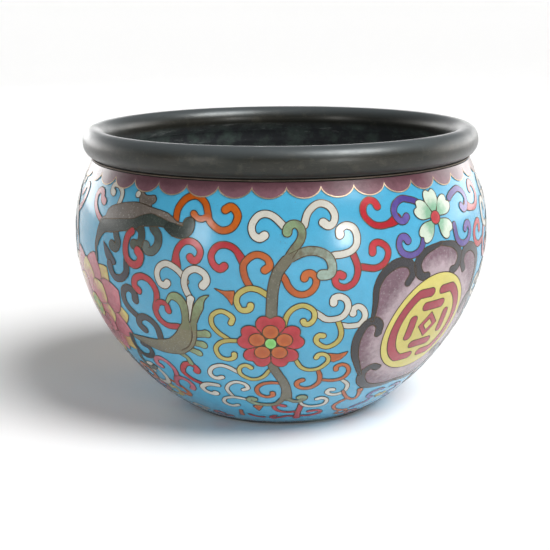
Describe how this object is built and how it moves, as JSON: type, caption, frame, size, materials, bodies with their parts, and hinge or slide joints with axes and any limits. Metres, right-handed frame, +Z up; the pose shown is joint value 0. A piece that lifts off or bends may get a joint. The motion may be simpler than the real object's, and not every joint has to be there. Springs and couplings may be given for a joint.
{
  "type": "enamelled metal bowl",
  "caption": "Round-bellied bronze bowl with a heavy rolled rim, a low foot ring and a thin coat of coloured wire-outlined enamel outside.",
  "frame": {"origin": "centre of the underside, on the plane that the foot ring stands on", "axes": "+Z up along the bowl's axis of turning, towards the mouth; +Y points away from the front"},
  "size_m": [0.2, 0.2, 0.1365],
  "materials": {
    "bronze": "dark brown patinated bronze, polished on the rim",
    "enamel": "fused glass enamel, turquoise ground, polished flush",
    "wire": "worn copper wire"
  },
  "bodies": {
    "root": {"bronze_vessel": "bronze", "enamel_coat": "enamel", "edge_wire": "wire"}
  },
  "joints": []
}
